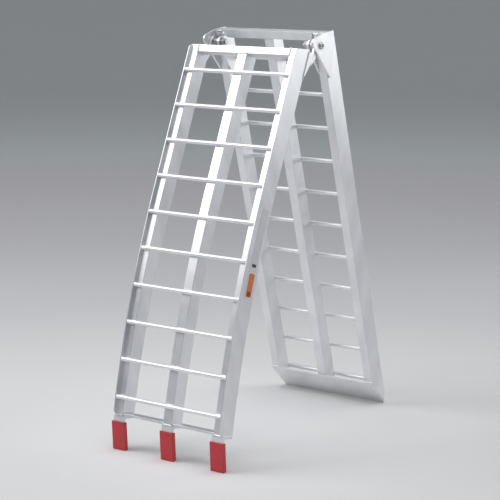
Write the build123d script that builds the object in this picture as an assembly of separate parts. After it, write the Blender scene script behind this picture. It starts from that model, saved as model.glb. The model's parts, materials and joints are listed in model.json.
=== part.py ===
from build123d import *
from math import cos, degrees, radians, sin
import os

# Folding loading ramp: two ladder sections joined by a hinge, standing as an A-frame.
# The tailgate section stands towards -Y, the ground section towards +Y, and +Z is up.
# X runs along the rungs. The origin is on the floor, at the middle of the footprint.
#
# Every section has its own side view, drawn from the hinge axis: "along" points from the
# hinge to the section's foot, and "out" points from the hinge to the load side.

os.makedirs("parts", exist_ok=True)

# ---- driving dimensions, mm and degrees ----
WIDTH = 320.0              # overall width of the ground section
SIDE_CLEARANCE = 0.6       # how much each tailgate rail sits inside the ground section's width
OUTER_RAIL_WIDTH = 23.0
CENTER_RAIL_WIDTH = 26.0
OUTER_RAIL_DEPTH = 45.0
CENTER_RAIL_DEPTH = 42.0
RAIL_WALL = 2.5
LIP_HEIGHT = 10.0          # guard lip above the load face
LIP_THICKNESS = 3.0
LIP_CHAMFER = 8.0

TAILGATE_LEAN = 23.05      # angle of each section from vertical at the hinge, rest pose
GROUND_LEAN = 16.24
TAILGATE_FACE = 80.4       # distance of the load face from the hinge axis
GROUND_FACE = 61.0

RUNG_RADIUS = 5.2
RUNG_SEAT = 4.8            # distance of the rung's flat from its axis
TAILGATE_RUNGS = 10
TAILGATE_FIRST_RUNG = 106.1
TAILGATE_RUNG_PITCH = 91.6
GROUND_RUNGS = 11
GROUND_FIRST_RUNG = 62.0
GROUND_RUNG_PITCH = 90.6

TAILGATE_START = 37.5      # rail end at the load face, measured along from the hinge
TAILGATE_START_LOW = 23.3  # the same at the underside, where the rails meet when deployed
TAILGATE_END = 975.0
BOW_START = 418.0          # the tailgate section is straight to here, then bowed
BOW_RADIUS = 2600.0
GROUND_START = -13.0       # rail end at the load face, behind the top crossmember
GROUND_START_LOW = -23.0
GROUND_END = 1031.0        # tip of the bevel at the load face
GROUND_END_LOW = 955.0

CROSSBAR_WIDTH = 18.0
CROSSBAR_DEPTH = 26.0
PLATE = 4.0                # crossmember and foot plate thickness
FLANGE_REACH = 17.0
FLANGE_CORNER = 14.0
END_STRIP = 5.0            # strips between the rail ends, set square to the rails
END_STRIP_DEPTH = 38.0

FINGER_WIDTH = 32.0
FINGER_THICKNESS = 7.0
FINGER_LEG = 38.0
FINGER_STRAIGHT = 12.0
FINGER_BEND = 14.0         # the fingers are turned towards the underside by this angle
SLEEVE_WALL = 3.0
SLEEVE_START = 16.0

# Hinge side views are (along, out) corners from the hinge axis, hulled with their rounds.
HINGE_PLATE = 5.0
OUTER_PLATE = [(-25.5, 16), (-17.6, 66), (92, 26), (88, 20)]
OUTER_PLATE_NOSE = (-14, -22)
OUTER_PLATE_NOSE_RADIUS = 11.0
OUTER_PLATE_CORNER = 3.0
INNER_PLATE = [(-6, 20), (-6, 52), (60, 52), (80, 20)]
INNER_PLATE_RADIUS = 13.0
EAR = 6.0
EAR_RADIUS = 14.0
EAR_SHOULDER = 28.2        # where the ear rises to the rail, clear of the hinge plates
EAR_TAIL = (87, 28)        # lower end of the ear's web
EAR_END = 99.0             # where the ear's lower edge runs into the rail
BOLT_RADIUS = 6.0
BORE_CLEARANCE = 0.06
SPACER_RADIUS = 10.0
SPACER_PLAY = 0.3
HEAD_RADIUS = 9.0
HEAD_HEIGHT = 5.0
HEAD_ROUND = 3.5
SOCKET_SIZE = 8.0          # across flats
SOCKET_DEPTH = 3.0
WASHER_RADIUS = 12.0
WASHER_THICKNESS = 2.0
NUT_SIZE = 18.0            # across flats
NUT_HEIGHT = 10.0
THREAD_STICKOUT = 4.0

LABEL_START = 432.0
LABEL_END = 648.0
LABEL_HEIGHT = 28.0
LABEL_THICKNESS = 0.5

# ---- derived places ----
SIDES = {"left": -1, "right": 1}
tailgate_half = WIDTH / 2 - SIDE_CLEARANCE
ground_rail_x = (WIDTH - OUTER_RAIL_WIDTH) / 2
tailgate_rail_x = tailgate_half - OUTER_RAIL_WIDTH / 2


def side_plane(lean, towards):
    """Side-view plane of a section: x runs along it, y runs out to its load side."""
    along = Vector(0, towards * sin(radians(lean)), -cos(radians(lean)))
    return Plane(origin=(0, 0, hinge_z), x_dir=along, z_dir=(towards, 0, 0))


# The hinge height follows from the bevel's tip, which stands on the floor.
hinge_z = GROUND_END * cos(radians(GROUND_LEAN)) - GROUND_FACE * sin(radians(GROUND_LEAN))
GROUND = side_plane(GROUND_LEAN, 1)
TAILGATE = side_plane(TAILGATE_LEAN, -1)
end_turn = degrees((TAILGATE_END - BOW_START) / BOW_RADIUS)
finger_lean = TAILGATE_LEAN - end_turn - FINGER_BEND


def bowed(along, out):
    """Side-view point of the tailgate section, measured along and out from its load face."""
    turn = max(0.0, along - BOW_START) / BOW_RADIUS
    if turn == 0:
        return (along, TAILGATE_FACE + out)
    reach = BOW_RADIUS + out
    return (BOW_START + reach * sin(turn), TAILGATE_FACE - BOW_RADIUS + reach * cos(turn))


def bowed_frame(along):
    """Location on the tailgate load face, turned with the bow."""
    turn = degrees(max(0.0, along - BOW_START) / BOW_RADIUS)
    return Location(bowed(along, 0), -turn)


def across(section, outline, width, center_x=0.0):
    """Extrude a side-view outline across the ramp, centred on center_x."""
    return Pos(center_x, 0, 0) * extrude(section * outline, amount=width / 2, both=True)


def rod(section, radius, x_start, x_end):
    """Round bar on the hinge axis between two places across the ramp."""
    return across(section, Circle(radius), abs(x_end - x_start), (x_start + x_end) / 2)


built = {}


def save(name, part):
    built[name] = part


# ---- rails ----
def bowed_arc(start, end, height):
    """Side-view arc of the bowed stretch, at one height from the load face."""
    return ThreePointArc(bowed(start, height), bowed((start + end) / 2, height), bowed(end, height))


def bowed_band(start_low, start_high, end, low, high):
    """Side view of a strip that runs straight and then follows the bow, between two heights."""
    edges = [
        Line(bowed(start_low, low), bowed(BOW_START, low)),
        bowed_arc(BOW_START, end, low),
        Line(bowed(end, low), bowed(end, high)),
        bowed_arc(end, BOW_START, high),
        Line(bowed(BOW_START, high), bowed(start_high, high)),
        Line(bowed(start_high, high), bowed(start_low, low)),
    ]
    return make_face(Wire(edges))


def start_at(height, low_start, high_start):
    """Where the slanted end of an outer rail is, at a height from the load face."""
    share = (height + OUTER_RAIL_DEPTH) / OUTER_RAIL_DEPTH
    return low_start + (high_start - low_start) * share


def end_at(height):
    """Where the ground rails' bevel is, at a height from the load face."""
    share = (height + OUTER_RAIL_DEPTH) / OUTER_RAIL_DEPTH
    return GROUND_END_LOW + (GROUND_END - GROUND_END_LOW) * share - bevel_step


def ground_band(low, high, extra=0.0):
    """Side view of a straight strip of the ground section, cut to both slanted ends."""
    return Polygon(
        (start_at(low, GROUND_START_LOW, GROUND_START) - extra, GROUND_FACE + low),
        (end_at(low) + extra, GROUND_FACE + low),
        (end_at(high) + extra, GROUND_FACE + high),
        (start_at(high, GROUND_START_LOW, GROUND_START) - extra, GROUND_FACE + high),
        align=None,
    )


bevel_angle = Vector(GROUND_END - GROUND_END_LOW, OUTER_RAIL_DEPTH, 0).get_angle(Vector(1, 0, 0))
bevel_step = PLATE / sin(radians(bevel_angle))


def ground_rail(width, depth, center_x):
    shell = across(GROUND, ground_band(-depth, 0), width, center_x)
    core = ground_band(-depth + RAIL_WALL, -RAIL_WALL, 20)
    return shell - across(GROUND, core, width - 2 * RAIL_WALL, center_x)


def tailgate_rail(width, depth, center_x, start_low, start_high):
    shell = across(TAILGATE, bowed_band(start_low, start_high, TAILGATE_END, -depth, 0), width, center_x)
    core_start = min(start_low, start_high) - 20
    core = bowed_band(core_start, core_start, TAILGATE_END + 5, -depth + RAIL_WALL, -RAIL_WALL)
    return shell - across(TAILGATE, core, width - 2 * RAIL_WALL, center_x)


def ground_lip():
    top = GROUND_FACE + LIP_HEIGHT
    return Polygon(
        (GROUND_START, GROUND_FACE),
        (end_at(0), GROUND_FACE),
        (end_at(0) - LIP_CHAMFER * 2, top),
        (GROUND_START + 1, top),
        align=None,
    )


def tailgate_lip():
    lip_end = TAILGATE_END - LIP_CHAMFER
    edges = [
        Line(bowed(TAILGATE_START, 0), bowed(BOW_START, 0)),
        bowed_arc(BOW_START, TAILGATE_END, 0),
        Line(bowed(TAILGATE_END, 0), bowed(lip_end, LIP_HEIGHT)),
        bowed_arc(lip_end, BOW_START, LIP_HEIGHT),
        Line(bowed(BOW_START, LIP_HEIGHT), bowed(TAILGATE_START + LIP_CHAMFER, LIP_HEIGHT)),
        Line(bowed(TAILGATE_START + LIP_CHAMFER, LIP_HEIGHT), bowed(TAILGATE_START, 0)),
    ]
    return make_face(Wire(edges))


for side, sign in SIDES.items():
    rail = ground_rail(OUTER_RAIL_WIDTH, OUTER_RAIL_DEPTH, sign * ground_rail_x)
    rail += across(GROUND, ground_lip(), LIP_THICKNESS, sign * (WIDTH - LIP_THICKNESS) / 2)
    save(f"ground_rail_{side}", rail)

    rail = tailgate_rail(
        OUTER_RAIL_WIDTH, OUTER_RAIL_DEPTH, sign * tailgate_rail_x, TAILGATE_START_LOW, TAILGATE_START
    )
    rail += across(TAILGATE, tailgate_lip(), LIP_THICKNESS, sign * (tailgate_half - LIP_THICKNESS / 2))
    save(f"tailgate_rail_{side}", rail)

save("ground_rail_center", ground_rail(CENTER_RAIL_WIDTH, CENTER_RAIL_DEPTH, 0))
center_start = TAILGATE_START + CROSSBAR_WIDTH
save(
    "tailgate_rail_center",
    tailgate_rail(CENTER_RAIL_WIDTH, CENTER_RAIL_DEPTH, 0, center_start, center_start),
)


# ---- rungs: round bars with a flat underneath, seated on the rails between the lips ----
def rung_outline():
    round_bar = Circle(RUNG_RADIUS)
    below = Pos(0, -RUNG_SEAT - RUNG_RADIUS) * Rectangle(4 * RUNG_RADIUS, 2 * RUNG_RADIUS)
    return Pos(0, RUNG_SEAT) * (round_bar - below)


for number in range(GROUND_RUNGS):
    place = Location((GROUND_FIRST_RUNG + number * GROUND_RUNG_PITCH, GROUND_FACE))
    rung = across(GROUND, place * rung_outline(), WIDTH - 2 * LIP_THICKNESS)
    save(f"ground_rung_{number + 1:02d}", rung)

for number in range(TAILGATE_RUNGS):
    place = bowed_frame(TAILGATE_FIRST_RUNG + number * TAILGATE_RUNG_PITCH)
    rung = across(TAILGATE, place * rung_outline(), 2 * (tailgate_half - LIP_THICKNESS))
    save(f"tailgate_rung_{number + 1:02d}", rung)


# ---- hinge plates of the ground section and ears of the tailgate section ----
inner_face = WIDTH / 2 - OUTER_RAIL_WIDTH
tailgate_underside = TAILGATE_FACE - OUTER_RAIL_DEPTH


def hull(corners, center, radius):
    """Plate outline that wraps straight corners and one round."""
    return make_hull((Polygon(*corners, align=None) + Pos(*center) * Circle(radius)).edges())


def bolt_hole(section):
    return across(section, Circle(BOLT_RADIUS + BORE_CLEARANCE), 2 * WIDTH)


outer_plate = hull(OUTER_PLATE, OUTER_PLATE_NOSE, OUTER_PLATE_NOSE_RADIUS)
# The nose already runs smoothly into its neighbours, so only the other corners are rounded.
sharp_corners = [
    vertex
    for vertex in outer_plate.vertices()
    if (Vector(*vertex) - Vector(*OUTER_PLATE_NOSE)).length > OUTER_PLATE_NOSE_RADIUS + 1
]
outer_plate = fillet(sharp_corners, OUTER_PLATE_CORNER)
inner_plate = hull(INNER_PLATE, (0, 0), INNER_PLATE_RADIUS)

for side, sign in SIDES.items():
    x = sign * (WIDTH + HINGE_PLATE) / 2
    save(f"hinge_plate_{side}_outer", across(GROUND, outer_plate, HINGE_PLATE, x) - bolt_hole(GROUND))
    x = sign * (inner_face - HINGE_PLATE / 2)
    save(f"hinge_plate_{side}_inner", across(GROUND, inner_plate, HINGE_PLATE, x) - bolt_hole(GROUND))


def ear_outline():
    """Ear under a tailgate rail: an eye about the hinge axis and a web up to the rail."""
    web = hull([(EAR_SHOULDER, EAR_RADIUS + 1), EAR_TAIL, (EAR_SHOULDER, EAR_RADIUS)], (0, 0), EAR_RADIUS)
    below_shoulder = Pos(EAR_END / 2, EAR_RADIUS - EAR_END / 2) * Rectangle(2 * EAR_END, EAR_END + 2)
    riser = Polygon(
        (EAR_SHOULDER, EAR_RADIUS),
        (EAR_SHOULDER, tailgate_underside),
        (EAR_END, tailgate_underside),
        EAR_TAIL,
        (EAR_SHOULDER, EAR_RADIUS / 2),
        align=None,
    )
    return (web & below_shoulder) + riser


for side, sign in SIDES.items():
    ear = across(TAILGATE, ear_outline(), EAR, sign * (tailgate_half - EAR / 2))
    save(f"hinge_ear_{side}", ear - bolt_hole(TAILGATE))

# ---- pivot bolts, spacers, washers and nuts ----
bolts, spacers, washers, nuts = Part(), Part(), Part(), Part()
ear_inner_face = tailgate_half - EAR - SPACER_PLAY
for sign in SIDES.values():
    head_x = sign * (WIDTH / 2 + HINGE_PLATE)
    washer_x = sign * (inner_face - HINGE_PLATE)
    nut_x = washer_x - sign * WASHER_THICKNESS
    tip_x = nut_x - sign * (NUT_HEIGHT + THREAD_STICKOUT)

    head = rod(GROUND, HEAD_RADIUS, head_x + sign * HEAD_HEIGHT, head_x)
    rim = head.edges().filter_by(GeomType.CIRCLE).sort_by(Axis.X)[0 if sign < 0 else -1]
    socket_x = head_x + sign * (HEAD_HEIGHT - SOCKET_DEPTH / 2)
    socket = across(GROUND, RegularPolygon(SOCKET_SIZE / 2, 6, major_radius=False), SOCKET_DEPTH, socket_x)
    bolts += rod(GROUND, BOLT_RADIUS, head_x, tip_x) + fillet(rim, HEAD_ROUND) - socket

    washers += rod(GROUND, WASHER_RADIUS, washer_x, nut_x) - bolt_hole(GROUND)
    flats = RegularPolygon(NUT_SIZE / 2, 6, major_radius=False)
    nuts += across(GROUND, flats, NUT_HEIGHT, nut_x - sign * NUT_HEIGHT / 2) - bolt_hole(GROUND)
    spacers += rod(GROUND, SPACER_RADIUS, sign * inner_face, sign * ear_inner_face) - bolt_hole(GROUND)

save("pivot_bolts", bolts)
save("pivot_spacers", spacers)
save("pivot_washers", washers)
save("pivot_nuts", nuts)


# ---- top crossmember of the ground section: a plate over the rail ends with a flange ----
def crossmember():
    low, high = -OUTER_RAIL_DEPTH, 0.0
    ends = Polygon(
        (GROUND_START_LOW, GROUND_FACE + low),
        (GROUND_START, GROUND_FACE + high),
        (GROUND_START - PLATE, GROUND_FACE + high),
        (GROUND_START_LOW - PLATE, GROUND_FACE + low),
        align=None,
    )
    flange_center = (GROUND_START_LOW - PLATE + (FLANGE_REACH + PLATE) / 2, GROUND_FACE + low)
    flange_gap = OUTER_RAIL_DEPTH - CENTER_RAIL_DEPTH
    flange = Pos(flange_center[0], flange_center[1] + flange_gap / 2) * Rectangle(
        FLANGE_REACH + PLATE, flange_gap
    )
    apron = across(GROUND, flange, 2 * (inner_face - HINGE_PLATE))
    corners = apron.edges().filter_by(Axis((0, 0, 0), GROUND.y_dir)).sort_by(Axis.Z)[:2]
    return across(GROUND, ends, WIDTH) + fillet(corners, FLANGE_CORNER)


save("ground_top_crossmember", crossmember())

# ---- foot plate of the ground section, on the bevel of the rails ----
foot = Polygon(
    (GROUND_END_LOW - bevel_step, GROUND_FACE - OUTER_RAIL_DEPTH),
    (GROUND_END - bevel_step, GROUND_FACE),
    (GROUND_END, GROUND_FACE),
    (GROUND_END_LOW, GROUND_FACE - OUTER_RAIL_DEPTH),
    align=None,
)
save("ground_foot_plate", across(GROUND, foot, WIDTH))

# ---- crossbar and end strips of the tailgate section ----
crossbar = Pos(TAILGATE_START + CROSSBAR_WIDTH / 2, TAILGATE_FACE - CROSSBAR_DEPTH / 2)
crossbar *= Rectangle(CROSSBAR_WIDTH, CROSSBAR_DEPTH) - Rectangle(
    CROSSBAR_WIDTH - 2 * RAIL_WALL, CROSSBAR_DEPTH - 2 * RAIL_WALL
)
save("tailgate_top_crossbar", across(TAILGATE, crossbar, 2 * (tailgate_half - OUTER_RAIL_WIDTH)))

bay_inner = CENTER_RAIL_WIDTH / 2
bay_outer = tailgate_half - OUTER_RAIL_WIDTH
strip_place = bowed_frame(TAILGATE_END) * Pos(-END_STRIP / 2, -END_STRIP_DEPTH / 2)
for side, sign in SIDES.items():
    end_strip = strip_place * Rectangle(END_STRIP, END_STRIP_DEPTH)
    x = sign * (bay_inner + bay_outer) / 2
    save(f"tailgate_end_strip_{side}", across(TAILGATE, end_strip, bay_outer - bay_inner, x))


# ---- fingers with their sleeves ----
def tip_length():
    """Length of the bent part of a finger, so that its sleeve's end stands on the floor."""
    root = TAILGATE.from_local_coords((*bowed(TAILGATE_END, 0), 0))
    lean = radians(TAILGATE_LEAN - end_turn)
    bend_z = root.Z - (FINGER_THICKNESS + FINGER_STRAIGHT) * cos(lean)
    return bend_z / cos(radians(finger_lean)) - SLEEVE_WALL


def strip(thickness_out, thickness_in, start, tip):
    """Side view of a bent strip in the frame of the rail's end, bend at the load face."""
    bend = FINGER_THICKNESS + FINGER_STRAIGHT
    turn = radians(FINGER_BEND)
    along = (cos(turn), -sin(turn))
    out = (sin(turn), cos(turn))

    def bent(reach, height):
        return (bend + reach * along[0] + height * out[0], reach * along[1] + height * out[1])

    half = radians(FINGER_BEND / 2)
    low_corner = (bend - thickness_in * sin(half) / cos(half), -thickness_in)
    high_corner = (bend + thickness_out * sin(half) / cos(half), thickness_out)
    return Polygon(
        (start, -thickness_in), low_corner, bent(tip, -thickness_in),
        bent(tip, thickness_out), high_corner, (start, thickness_out),
        align=None,
    )


finger_tip = tip_length()
rail_end = Location(bowed(TAILGATE_END, 0), -end_turn)
finger_side = strip(0, FINGER_THICKNESS, 0, finger_tip)
leg = Pos(FINGER_THICKNESS / 2, -FINGER_LEG / 2) * Rectangle(FINGER_THICKNESS, FINGER_LEG)
sleeve_side = strip(SLEEVE_WALL, FINGER_THICKNESS + SLEEVE_WALL, SLEEVE_START, finger_tip + SLEEVE_WALL)
sleeve_side = fillet(sleeve_side.vertices().sort_by(Axis.X)[-2:], SLEEVE_WALL)
sleeve_width = FINGER_WIDTH + 2 * SLEEVE_WALL

finger_x = {"left": -tailgate_rail_x, "center": 0.0, "right": tailgate_rail_x}
for name, x in finger_x.items():
    bar = across(TAILGATE, rail_end * (finger_side + leg), FINGER_WIDTH, x)
    save(f"tailgate_finger_{name}", bar)
    sleeve = across(TAILGATE, rail_end * sleeve_side, sleeve_width, x)
    save(f"finger_sleeve_{name}", sleeve - across(TAILGATE, rail_end * finger_side, FINGER_WIDTH, x))

# ---- label on the outer side of the right tailgate rail ----
label_low = -(OUTER_RAIL_DEPTH + LABEL_HEIGHT) / 2
label_high = label_low + LABEL_HEIGHT
label_edges = [
    bowed_arc(LABEL_START, LABEL_END, label_low),
    Line(bowed(LABEL_END, label_low), bowed(LABEL_END, label_high)),
    bowed_arc(LABEL_END, LABEL_START, label_high),
    Line(bowed(LABEL_START, label_high), bowed(LABEL_START, label_low)),
]
label_side = make_face(Wire(label_edges))
save("rail_label", across(TAILGATE, label_side, LABEL_THICKNESS, tailgate_half + LABEL_THICKNESS / 2))

# ---- the footprint is centred on the origin, then every node is written ----
boxes = [part.bounding_box() for part in built.values()]
center_y = (min(box.min.Y for box in boxes) + max(box.max.Y for box in boxes)) / 2
for name, part in built.items():
    export_step(Pos(0, -center_y, 0) * part, f"parts/{name}.step")
print(f"{len(built)} nodes, hinge axis at Y {-center_y:.3f}, Z {hinge_z:.3f}")
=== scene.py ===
import json
from itertools import permutations
from math import atan2, cos, pi, radians, sin

import bmesh
import bpy
import numpy as np
from mathutils import Matrix, Vector
from mathutils.bvhtree import BVHTree


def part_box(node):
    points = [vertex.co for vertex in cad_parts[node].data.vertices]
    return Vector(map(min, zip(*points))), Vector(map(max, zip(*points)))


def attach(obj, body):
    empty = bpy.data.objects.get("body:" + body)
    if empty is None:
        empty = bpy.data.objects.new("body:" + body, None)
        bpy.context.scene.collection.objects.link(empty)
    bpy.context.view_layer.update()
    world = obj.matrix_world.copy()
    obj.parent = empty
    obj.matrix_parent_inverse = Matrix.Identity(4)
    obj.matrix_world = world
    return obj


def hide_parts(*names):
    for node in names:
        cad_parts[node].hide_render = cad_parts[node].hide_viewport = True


# Looks of the folding loading ramp: edges, weld seams, sleeves and materials are added to
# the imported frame. Everything is in metres, in the frame's own axes: X along the rungs, +Z
# up, the tailgate section towards -Y and the ground section towards +Y.

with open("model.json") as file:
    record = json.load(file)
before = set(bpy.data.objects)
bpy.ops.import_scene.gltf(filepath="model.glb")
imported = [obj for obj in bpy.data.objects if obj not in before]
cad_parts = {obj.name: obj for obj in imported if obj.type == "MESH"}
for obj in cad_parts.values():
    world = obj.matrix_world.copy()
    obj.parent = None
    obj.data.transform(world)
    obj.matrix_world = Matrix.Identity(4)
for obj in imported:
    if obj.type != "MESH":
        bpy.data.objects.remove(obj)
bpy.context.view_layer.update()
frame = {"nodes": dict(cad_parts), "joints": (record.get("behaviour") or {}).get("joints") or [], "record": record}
nodes = frame["nodes"]
bodies = frame["record"]["behaviour"]["bodies"]
hinge = Vector(frame["joints"][0]["pos_m"])
rng = np.random.default_rng(7)

MM = 0.001


# ---- places read from the frame ----
def middle(node):
    low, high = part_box(node)
    return (low + high) / 2


def body_of(node):
    return next(body for body, members in bodies.items() if node in members)


def named(*starts):
    """CAD nodes whose names begin with any of these words."""
    return sorted(node for node in nodes if node.startswith(starts))


def section_lean(prefix):
    """Angle of a section's straight part from vertical, from its first two rungs."""
    step = middle(f"{prefix}_rung_02") - middle(f"{prefix}_rung_01")
    return atan2(abs(step.y), -step.z)


TAILGATE_LEAN = section_lean("tailgate")
GROUND_LEAN = section_lean("ground")


# ---- shader helpers ----
def new_material(name):
    material = bpy.data.materials.new(name)
    material.use_nodes = True
    tree = material.node_tree
    shader = tree.nodes["Principled BSDF"]
    return material, tree, shader


def add(tree, kind, **settings):
    node = tree.nodes.new(kind)
    for key, value in settings.items():
        setattr(node, key, value)
    return node


def section_vector(tree, lean, stretch):
    """Object coordinates turned so that Z runs along a leaning section, then stretched."""
    place = add(tree, "ShaderNodeTexCoord")
    turn = add(tree, "ShaderNodeMapping")
    turn.inputs["Rotation"].default_value = (lean, 0, 0)
    scale = add(tree, "ShaderNodeMapping")
    scale.inputs["Scale"].default_value = stretch
    tree.links.new(place.outputs["Object"], turn.inputs["Vector"])
    tree.links.new(turn.outputs["Vector"], scale.inputs["Vector"])
    return scale.outputs["Vector"]


def noise(tree, vector, scale, detail, roughness=0.55):
    texture = add(tree, "ShaderNodeTexNoise")
    texture.inputs["Scale"].default_value = scale
    texture.inputs["Detail"].default_value = detail
    texture.inputs["Roughness"].default_value = roughness
    tree.links.new(vector, texture.inputs["Vector"])
    return texture.outputs["Fac"]


def spread(tree, factor, low, high, start=0.3, end=0.7):
    """Map a noise value between two numbers."""
    ramp = add(tree, "ShaderNodeMapRange")
    ramp.inputs["From Min"].default_value = start
    ramp.inputs["From Max"].default_value = end
    ramp.inputs["To Min"].default_value = low
    ramp.inputs["To Max"].default_value = high
    tree.links.new(factor, ramp.inputs["Value"])
    return ramp.outputs["Result"]


def tones(tree, factor, stops):
    """Colour ramp through (place, colour) stops."""
    ramp = add(tree, "ShaderNodeValToRGB")
    elements = ramp.color_ramp.elements
    while len(elements) < len(stops):
        elements.new(0.5)
    for element, (place, color) in zip(elements, stops):
        element.position = place
        element.color = (*color, 1.0)
    tree.links.new(factor, ramp.inputs["Fac"])
    return ramp.outputs["Color"]


def bump(tree, height, strength, distance, normal=None):
    node = add(tree, "ShaderNodeBump")
    node.inputs["Strength"].default_value = strength
    node.inputs["Distance"].default_value = distance
    tree.links.new(height, node.inputs["Height"])
    if normal is not None:
        tree.links.new(normal, node.inputs["Normal"])
    return node.outputs["Normal"]


METALLIC = 0.86            # a little under 1, which makes the metals paler
CLOUDS = (14, 14, 5)
PITS = (420, 420, 420)
GRAIN_DEPTH = 0.18
WEAR = 0.06                # range over which handling marks shift the roughness
SMOOTHEST, ROUGHEST = 0.82, 1.22    # shares of a metal's roughness along its grain


def metal(name, lean, grain, dark, light, rough):
    """Bare metal with a drawn or brushed grain, cloudy handling marks and fine pits."""
    material, tree, shader = new_material(name)
    lines = noise(tree, section_vector(tree, lean, grain), 1.0, 6.0, 0.65)
    clouds = noise(tree, section_vector(tree, lean, CLOUDS), 1.0, 3.0, 0.5)
    pits = noise(tree, section_vector(tree, lean, PITS), 1.0, 2.0, 0.5)
    color = tones(tree, clouds, [(0.35, dark), (0.62, light)])
    tree.links.new(color, shader.inputs["Base Color"])
    worn = spread(tree, clouds, -WEAR / 2, WEAR / 2)
    total = add(tree, "ShaderNodeMath", operation="ADD")
    tree.links.new(spread(tree, lines, rough * SMOOTHEST, rough * ROUGHEST), total.inputs[0])
    tree.links.new(worn, total.inputs[1])
    tree.links.new(total.outputs[0], shader.inputs["Roughness"])
    shader.inputs["Metallic"].default_value = METALLIC
    grained = bump(tree, lines, GRAIN_DEPTH, 0.12 * MM)
    tree.links.new(bump(tree, pits, 0.08, 0.1 * MM, grained), shader.inputs["Normal"])
    return material


# ---- materials ----
DARK_ALUMINIUM = (0.76, 0.77, 0.79)
LIGHT_ALUMINIUM = (0.87, 0.88, 0.90)
ALONG_SECTION = (700, 700, 3)
ACROSS_RAMP = (3, 700, 700)
IN_ALL_WAYS = (300, 300, 300)

materials = {
    "tailgate_rail": metal(
        "extruded_tailgate", -TAILGATE_LEAN, ALONG_SECTION, DARK_ALUMINIUM, LIGHT_ALUMINIUM, 0.40,
    ),
    "ground_rail": metal(
        "extruded_ground", GROUND_LEAN, ALONG_SECTION, DARK_ALUMINIUM, LIGHT_ALUMINIUM, 0.40,
    ),
    "bar": metal(
        "drawn_bar", 0, ACROSS_RAMP, (0.86, 0.87, 0.88), (0.92, 0.92, 0.93), 0.44,
    ),
    "plate": metal(
        "brushed_plate", 0, ACROSS_RAMP, DARK_ALUMINIUM, LIGHT_ALUMINIUM, 0.42,
    ),
    "cut_plate": metal(
        "cut_plate", 0, (300, 300, 60), (0.78, 0.79, 0.81), (0.88, 0.89, 0.90), 0.42,
    ),
    # The foot plate's base colour is set lighter than the other plates as painted light, standing in for light
    # bounced up from the floor; its higher roughness is a matte surface.
    "foot": metal(
        "rough_plate_painted_lighter", 0, IN_ALL_WAYS, (0.90, 0.90, 0.91), (0.95, 0.95, 0.96), 0.55,
    ),
    "weld": metal(
        "weld_metal", 0, (260, 260, 260), (0.60, 0.60, 0.61), (0.88, 0.88, 0.89), 0.40,
    ),
    "bolt": metal(
        "zinc_steel", 0, (200, 900, 900), (0.42, 0.42, 0.43), (0.62, 0.62, 0.61), 0.30,
    ),
    "spacer": metal(
        "turned_steel", 0, (1500, 60, 60), (0.40, 0.40, 0.41), (0.55, 0.55, 0.56), 0.34,
    ),
}


def vinyl():
    """Dipped red vinyl: satin skin with a faint orange-peel and rubbed patches."""
    material, tree, shader = new_material("dipped_vinyl")
    clouds = noise(tree, section_vector(tree, 0, (28, 28, 28)), 1.0, 5.0, 0.6)
    peel = noise(tree, section_vector(tree, 0, (700, 700, 700)), 1.0, 2.0, 0.5)
    color = tones(tree, clouds, [(0.3, (0.50, 0.022, 0.030)), (0.7, (0.60, 0.034, 0.044))])
    tree.links.new(color, shader.inputs["Base Color"])
    tree.links.new(spread(tree, clouds, 0.34, 0.50), shader.inputs["Roughness"])
    shader.inputs["Coat Weight"].default_value = 0.15
    shader.inputs["Coat Roughness"].default_value = 0.25
    tree.links.new(bump(tree, peel, 0.15, 0.3 * MM), shader.inputs["Normal"])
    return material


materials["vinyl"] = vinyl()


# ---- mesh helpers ----
SAME_CORNER = 0.002 * MM
FLAT = radians(0.4)        # faces that meet at less than this are one flat face
ROUNDED_FROM = radians(32)


def clean_mesh(node):
    """Copy of a CAD node's mesh with shared corners and without the facets of its flat faces."""
    shape = bmesh.new()
    shape.from_mesh(nodes[node].data)
    bmesh.ops.remove_doubles(shape, verts=shape.verts, dist=SAME_CORNER)
    bmesh.ops.dissolve_limit(
        shape, angle_limit=FLAT, use_dissolve_boundaries=False,
        verts=shape.verts, edges=shape.edges,
    )
    return shape


def smooth_shaded(mesh):
    for polygon in mesh.polygons:
        polygon.use_smooth = True


def add_piece(name, mesh, body, material):
    piece = bpy.data.objects.new(name, mesh)
    bpy.context.scene.collection.objects.link(piece)
    mesh.materials.clear()
    mesh.materials.append(material)
    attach(piece, body)
    return piece


def rounded(node, radius, material, segments):
    """The CAD node with rounded edges, which stands for it."""
    shape = clean_mesh(node)
    mesh = bpy.data.meshes.new(node + "_edges")
    shape.to_mesh(mesh)
    shape.free()
    source = bpy.data.objects.new("source", mesh)
    bpy.context.scene.collection.objects.link(source)
    smooth_shaded(mesh)
    edges = source.modifiers.new("edges", "BEVEL")
    edges.width = radius
    edges.segments = segments
    edges.limit_method = "ANGLE"
    edges.angle_limit = ROUNDED_FROM
    edges.miter_outer = "MITER_ARC"
    smooth = source.modifiers.new("smooth", "WEIGHTED_NORMAL")
    smooth.keep_sharp = True
    bpy.context.view_layer.update()
    depsgraph = bpy.context.evaluated_depsgraph_get()
    final = bpy.data.meshes.new_from_object(source.evaluated_get(depsgraph))
    bpy.data.objects.remove(source)
    piece = add_piece(node + "_detail", final, body_of(node), material)
    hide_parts(node)


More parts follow.
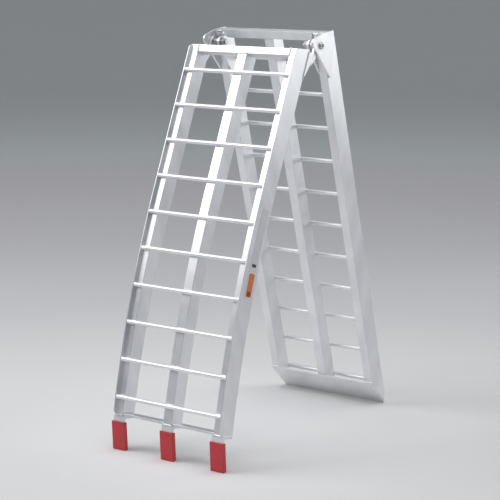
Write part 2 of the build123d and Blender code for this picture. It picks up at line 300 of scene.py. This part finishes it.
# ---- rails, rungs, plates, fingers and hinge, with rounded edges ----
EDGE_RADIUS = {
    "tailgate_rail": (0.9 * MM, "tailgate_rail"),
    "ground_rail": (0.9 * MM, "ground_rail"),
    "tailgate_rung": (0.6 * MM, "bar"),
    "ground_rung": (0.6 * MM, "bar"),
    "tailgate_top_crossbar": (0.9 * MM, "plate"),
    "tailgate_end_strip": (0.6 * MM, "plate"),
    "tailgate_finger": (0.8 * MM, "plate"),
    "ground_top_crossmember": (0.7 * MM, "plate"),
    "ground_foot_plate": (0.7 * MM, "foot"),
    "hinge": (0.6 * MM, "cut_plate"),
    "pivot_bolts": (0.3 * MM, "bolt"),
    "pivot_nuts": (0.5 * MM, "bolt"),
    "pivot_washers": (0.3 * MM, "bolt"),
    "pivot_spacers": (0.4 * MM, "spacer"),
    "finger_sleeve": (3.2 * MM, "vinyl"),
}
for start, (radius, kind) in EDGE_RADIUS.items():
    for node in named(start):
        rounded(node, radius, materials[kind], 3 if kind == "vinyl" else 2)


# ---- weld seams: found where an edge of one piece lies on another piece ----
SAMPLE = 0.8 * MM
TOUCH = 0.12 * MM
SHARP = radians(25)
SHORTEST_SEAM = 3 * MM
SAME_END = 0.2 * MM
TURNS_TESTED = 37


def surface(node):
    shape = clean_mesh(node)
    bmesh.ops.triangulate(shape, faces=shape.faces)
    tree = BVHTree.FromBMesh(shape)
    shape.free()
    return tree


surfaces = {node: surface(node) for node in named("tailgate_rail", "ground_rail", "hinge_ear")}
ears = named("hinge_ear")
hinge_range = frame["record"]["behaviour"]["joints"][0]["range_deg"]
# How the ground section turns over the hinge's whole range, as the ears see it.
SWEEP = [
    Matrix.Rotation(-radians(turn), 3, "X")
    for turn in np.linspace(*hinge_range, TURNS_TESTED)
]


def swept(point, reach):
    """True where a hinge ear comes within reach of a point on the ground section as it turns."""
    return any(
        surfaces[ear].find_nearest(hinge + turn @ (point - hinge), reach)[0] is not None
        for turn in SWEEP
        for ear in ears
    )


def touching_runs(node, others, keep_clear):
    """Polylines along a node's sharp edges, where they lie on the surface of the others.

    Points that an ear would come within keep_clear of are left out, so that no bead is in its way.
    """
    shape = clean_mesh(node)
    runs = []
    for edge in shape.edges:
        if len(edge.link_faces) != 2 or edge.calc_face_angle(0) < SHARP:
            continue
        start, end = (v.co.copy() for v in edge.verts)
        count = max(2, int((end - start).length / SAMPLE))
        run = []
        for step in range(count + 1):
            point = start.lerp(end, step / count)
            near = any(surfaces[o].find_nearest(point, TOUCH)[0] is not None for o in others)
            near = near and not (keep_clear and swept(point, keep_clear))
            if near:
                run.append(point)
            if (not near or step == count) and run:
                runs.append(run)
                run = []
    shape.free()
    return joined([run for run in runs if (run[-1] - run[0]).length > SHORTEST_SEAM])


def join_once(runs):
    """The runs with the first two that share an end made into one, or None if no two do."""
    for first, second in permutations(runs, 2):
        for a, b in ((first, second), (first[::-1], second), (first, second[::-1])):
            if (a[-1] - b[0]).length < SAME_END:
                others = [run for run in runs if run is not first and run is not second]
                return others + [a + b[1:]]
    return None


def joined(runs):
    """Join runs that share an end into longer ones."""
    while (fewer := join_once(runs)) is not None:
        runs = fewer
    return runs


RING_SPACING = 0.55 * MM
RING_SIDES = 10
FEWEST_RINGS = 6
RIPPLE = 1.9 * MM          # distance between the ripples of a bead
RIPPLE_DEPTH = 0.16        # share of the bead's radius
END_SIZE = 0.5             # share of the bead's radius that its ends keep
UNEVEN = 0.04              # largest share by which a ring is larger or smaller


def bead(shape, run, radius):
    """A rippled weld bead along a polyline, tapered at both ends."""
    length = sum((b - a).length for a, b in zip(run, run[1:]))
    rings = max(FEWEST_RINGS, int(length / RING_SPACING))
    step = (len(run) - 1) / rings
    previous = None
    phase = rng.uniform(0, RIPPLE)
    for ring in range(rings + 1):
        place = ring * step
        index = min(int(place), len(run) - 2)
        center = run[index].lerp(run[index + 1], place - index)
        back = run[max(0, index - 2)]
        ahead = run[min(len(run) - 1, index + 3)]
        along = (ahead - back).normalized()
        side = along.orthogonal().normalized() if previous is None else previous
        side = (side - along * side.dot(along)).normalized()
        previous = side
        up = along.cross(side)
        far = length * ring / rings
        wave = abs(sin(pi * (far + phase) / RIPPLE))
        taper = min(1.0, min(far, length - far) / radius + END_SIZE ** 2) ** 0.5
        swell = 1 - RIPPLE_DEPTH + RIPPLE_DEPTH * wave
        size = radius * swell * taper * rng.uniform(1 - UNEVEN, 1 + UNEVEN)
        circle = []
        for k in range(RING_SIDES):
            angle = 2 * pi * k / RING_SIDES
            offset = side * cos(angle) + up * sin(angle)
            circle.append(shape.verts.new(center + offset * size))
        if ring:
            for k in range(RING_SIDES):
                n = (k + 1) % RING_SIDES
                shape.faces.new((last[k], last[n], circle[n], circle[k]))
        else:
            shape.faces.new(circle[::-1])
        last = circle
    shape.faces.new(last)


RUNG_BEAD = 2.7 * MM
FRAME_BEAD = 2.4 * MM
EAR_CLEARANCE = 3.0 * MM   # from a bead's centre line, so it is more than FRAME_BEAD


def weld(name, pairs, radius, keep_clear=0.0):
    """One piece that holds the seams between each (node, others) pair."""
    shape = bmesh.new()
    body = body_of(pairs[0][0])
    for node, others in pairs:
        for run in touching_runs(node, others, keep_clear):
            bead(shape, run, radius)
    mesh = bpy.data.meshes.new(name)
    shape.to_mesh(mesh)
    shape.free()
    smooth_shaded(mesh)
    add_piece(name, mesh, body, materials["weld"])


for prefix in ("tailgate", "ground"):
    rails = named(f"{prefix}_rail")
    weld(f"{prefix}_rung_welds", [(rung, rails) for rung in named(f"{prefix}_rung")], RUNG_BEAD)

tailgate_rails = named("tailgate_rail")
ground_rails = named("ground_rail")
weld("tailgate_frame_welds", [
    (node, tailgate_rails)
    for node in named("tailgate_top_crossbar", "tailgate_end_strip", "tailgate_finger", "hinge_ear")
], FRAME_BEAD)
weld("ground_frame_welds", [
    (node, ground_rails)
    for node in named("ground_top_crossmember", "ground_foot_plate", "hinge_plate")
], FRAME_BEAD, keep_clear=EAR_CLEARANCE)


# ---- printed film on the rail ----
def calc(tree, operation, first, second=None):
    node = add(tree, "ShaderNodeMath", operation=operation)
    for socket, value in zip(node.inputs, (first, second)):
        if isinstance(value, (int, float)):
            socket.default_value = value
        elif value is not None:
            tree.links.new(value, socket)
    return node.outputs[0]


def rounded_block(tree, point, center, half, corner):
    """1 inside a block with rounded corners and 0 outside, in the film's own metres."""
    value = point
    for operation, amount in (
        ("SUBTRACT", (*center, 0)),
        ("ABSOLUTE", None),
        ("SUBTRACT", (half[0] - corner, half[1] - corner, 0)),
        ("MAXIMUM", (0, 0, 0)),
        ("LENGTH", None),
    ):
        node = add(tree, "ShaderNodeVectorMath", operation=operation)
        tree.links.new(value, node.inputs[0])
        if amount is not None:
            node.inputs[1].default_value = amount
        value = node.outputs["Value" if operation == "LENGTH" else "Vector"]
    return calc(tree, "LESS_THAN", value, corner)


def bow_center():
    """Centre, in side view, of the circle that the lower tailgate rungs lie on."""
    (ay, az), (by, bz), (cy, cz) = (middle(f"tailgate_rung_{n}").yz for n in ("05", "07", "10"))
    rows = np.array([[by - ay, bz - az], [cy - ay, cz - az]])
    ends = np.array([by * by - ay * ay + bz * bz - az * az, cy * cy - ay * ay + cz * cz - az * az])
    return np.linalg.solve(rows, ends / 2)


# Printed blocks: place along the film, half length and half height as shares of it, and paint.
PRINTED_BLOCKS = [
    (0.635, 0.018, 0.30, (0.04, 0.04, 0.04)),
    (0.855, 0.142, 0.48, (0.84, 0.78, 0.70)),
    (0.855, 0.132, 0.40, (0.72, 0.20, 0.06)),
    (0.950, 0.026, 0.26, (0.20, 0.06, 0.03)),
]
CORNER_SHARE = 0.4         # of a block's smaller half size
MIX_UNDER, MIX_OVER, MIX_RESULT = 6, 7, 2    # colour sockets of the Mix node


def film():
    """Silver film with plain printed blocks: no lettering."""
    material, tree, shader = new_material("printed_film")
    center_y, center_z = bow_center()
    corners = [vertex.co for vertex in nodes["rail_label"].data.vertices]
    reaches = [((c.y - center_y) ** 2 + (c.z - center_z) ** 2) ** 0.5 for c in corners]
    turns = [atan2(c.z - center_z, center_y - c.y) for c in corners]
    reach = (min(reaches) + max(reaches)) / 2
    length = (max(turns) - min(turns)) * reach

    place = add(tree, "ShaderNodeTexCoord")
    split = add(tree, "ShaderNodeSeparateXYZ")
    tree.links.new(place.outputs["Object"], split.inputs["Vector"])
    back = calc(tree, "SUBTRACT", float(center_y), split.outputs["Y"])
    rise = calc(tree, "SUBTRACT", split.outputs["Z"], float(center_z))
    squares = calc(tree, "ADD", calc(tree, "POWER", back, 2.0), calc(tree, "MULTIPLY", rise, rise))
    across_film = calc(tree, "SUBTRACT", calc(tree, "SQRT", squares), reach)
    turn = calc(tree, "SUBTRACT", max(turns), calc(tree, "ARCTAN2", rise, back))
    point = add(tree, "ShaderNodeCombineXYZ")
    tree.links.new(calc(tree, "MULTIPLY", turn, reach), point.inputs["X"])
    tree.links.new(across_film, point.inputs["Y"])

    clouds = noise(tree, section_vector(tree, -TAILGATE_LEAN, (30, 30, 8)), 1.0, 4.0, 0.6)
    color = tones(tree, clouds, [(0.3, (0.66, 0.68, 0.70)), (0.7, (0.76, 0.77, 0.79))])
    height = max(reaches) - min(reaches)
    for middle_share, half_share, half_height, paint in PRINTED_BLOCKS:
        half = (half_share * length, half_height * height)
        center = (middle_share * length, 0)
        corner = CORNER_SHARE * min(half)
        inside = rounded_block(tree, point.outputs["Vector"], center, half, corner)
        mix = add(tree, "ShaderNodeMix", data_type="RGBA")
        tree.links.new(inside, mix.inputs["Factor"])
        tree.links.new(color, mix.inputs[MIX_UNDER])
        mix.inputs[MIX_OVER].default_value = (*paint, 1)
        color = mix.outputs[MIX_RESULT]
    tree.links.new(color, shader.inputs["Base Color"])
    tree.links.new(spread(tree, clouds, 0.36, 0.50), shader.inputs["Roughness"])
    tree.links.new(bump(tree, clouds, 0.1, 0.5 * MM), shader.inputs["Normal"])
    return material


materials["film"] = film()
nodes["rail_label"].data.materials.clear()
nodes["rail_label"].data.materials.append(materials["film"])


# ---- stage ----
# The wall is far enough out to be behind a camera that frames the opened ramp.
FLOOR_FLAT = 9.0           # radius of the flat part of the floor
FLOOR_RINGS = 9
WALL_TURN = 4.0            # radius of the curve between floor and wall
TURN_START = radians(4)
TURN_RINGS = 16
WALL_RADIUS = 14.0
WALL_TOP = 10.0
SWEEP_SIDES = 96
# Paper tones at distances from the ramp, in metres, set to look like the backdrop of
# the object's picture. The paper is pale; its changes of tone with distance are painted light
# and shade: a painted pool of light close to the ramp, painted shade a metre or two out,
# lighter again around five to six metres and darker up the wall.
PAPER_AND_PAINTED_LIGHT = [
    (0.12, (0.780, 0.775, 0.785)), (0.68, (0.645, 0.645, 0.645)), (1.5, (0.577, 0.576, 0.589)),
    (2.7, (0.588, 0.581, 0.596)), (4.6, (0.678, 0.662, 0.688)), (5.8, (0.70, 0.735, 0.73)),
    (8.0, (0.66, 0.68, 0.685)), (13.0, (0.61, 0.63, 0.64)),
]


def studio_sweep():
    """Pale floor that curves up into a wall all round, in tones that change with distance, which are painted light
    and shade.
    """
    profile = [(r, 0.0) for r in np.linspace(0.0, FLOOR_FLAT, FLOOR_RINGS)[1:]]
    profile += [
        (WALL_RADIUS - WALL_TURN * (1 - sin(a)), WALL_TURN * (1 - cos(a)))
        for a in np.linspace(TURN_START, radians(90), TURN_RINGS)
    ]
    profile.append((WALL_RADIUS, WALL_TOP))
    shape = bmesh.new()
    bearings = [2 * pi * k / SWEEP_SIDES for k in range(SWEEP_SIDES)]
    rings = [
        [shape.verts.new((r * cos(bearing), r * sin(bearing), z)) for bearing in bearings]
        for r, z in profile
    ]
    center = shape.verts.new((0, 0, 0))
    for k in range(SWEEP_SIDES):
        n = (k + 1) % SWEEP_SIDES
        shape.faces.new((center, rings[0][k], rings[0][n]))
        for inner, outer in zip(rings, rings[1:]):
            shape.faces.new((inner[k], outer[k], outer[n], inner[n]))
    mesh = bpy.data.meshes.new("studio_sweep")
    shape.to_mesh(mesh)
    shape.free()
    smooth_shaded(mesh)
    floor = bpy.data.objects.new("studio_sweep", mesh)
    bpy.context.scene.collection.objects.link(floor)

    material, tree, shader = new_material("sweep_paper_painted_light")
    place = add(tree, "ShaderNodeTexCoord")
    reach = add(tree, "ShaderNodeVectorMath", operation="LENGTH")
    tree.links.new(place.outputs["Object"], reach.inputs[0])
    away = spread(tree, reach.outputs["Value"], 0.0, 1.0, 0.0, WALL_RADIUS)
    # The paper colour carries painted light and shade: a painted pool of light near the ramp, darker further out.
    color = tones(tree, away, [(distance / WALL_RADIUS, tone) for distance, tone in PAPER_AND_PAINTED_LIGHT])
    tree.links.new(color, shader.inputs["Base Color"])
    grain = noise(tree, place.outputs["Object"], 60.0, 3.0)
    tree.links.new(spread(tree, grain, 0.62, 0.78), shader.inputs["Roughness"])
    tree.links.new(bump(tree, grain, 0.02, 1.0 * MM), shader.inputs["Normal"])
    shader.inputs["Specular IOR Level"].default_value = 0.2
    mesh.materials.append(material)


studio_sweep()


# ---- light ----
def softbox(name, place, target, width, height, power):
    data = bpy.data.lights.new(name, "AREA")
    data.shape = "RECTANGLE"
    data.size = width
    data.size_y = height
    data.energy = power
    light = bpy.data.objects.new(name, data)
    bpy.context.scene.collection.objects.link(light)
    light.location = place
    light.visible_camera = False
    light.rotation_euler = (Vector(target) - Vector(place)).to_track_quat("-Z", "Y").to_euler()


softbox("front_left", (-2.15, -1.85, 2.5), (0, 0, 0.5), 2.2, 1.5, 46)
softbox("overhead", (0, -0.5, 4.0), (0, 0, 0), 3.0, 3.0, 80)
softbox("rear_right", (1.8, 2.5, 1.45), (0, 0, 0.8), 1.8, 1.7, 19)

world = bpy.data.worlds.new("studio_air")
world.use_nodes = True
background = world.node_tree.nodes["Background"]
background.inputs["Color"].default_value = (0.80, 0.82, 0.85, 1)
background.inputs["Strength"].default_value = 0.55
bpy.context.scene.world = world
bpy.context.scene.view_settings.view_transform = "Standard"

# ---- camera: the viewing angle of the object's picture ----
CAMERA_PLACE = Vector((2.268, -3.270, 1.181))
CAMERA_YAW = radians(35.0)
CAMERA_DIP = radians(10.32)
CAMERA_ROLL = radians(0.27)
LENS_LENGTH = 115.5        # in millimetres
SENSOR_WIDTH = 36.0        # in millimetres
camera_data = bpy.data.cameras.new("camera")
camera_data.lens = LENS_LENGTH
camera_data.sensor_width = SENSOR_WIDTH
camera = bpy.data.objects.new("camera", camera_data)
bpy.context.scene.collection.objects.link(camera)
aim = Matrix.Rotation(CAMERA_YAW, 4, "Z") @ Matrix.Rotation(pi / 2 - CAMERA_DIP, 4, "X")
camera.matrix_world = Matrix.Translation(CAMERA_PLACE) @ aim @ Matrix.Rotation(CAMERA_ROLL, 4, "Z")
bpy.context.scene.camera = camera

# ---- last update of the view layer ----
bpy.context.view_layer.update()
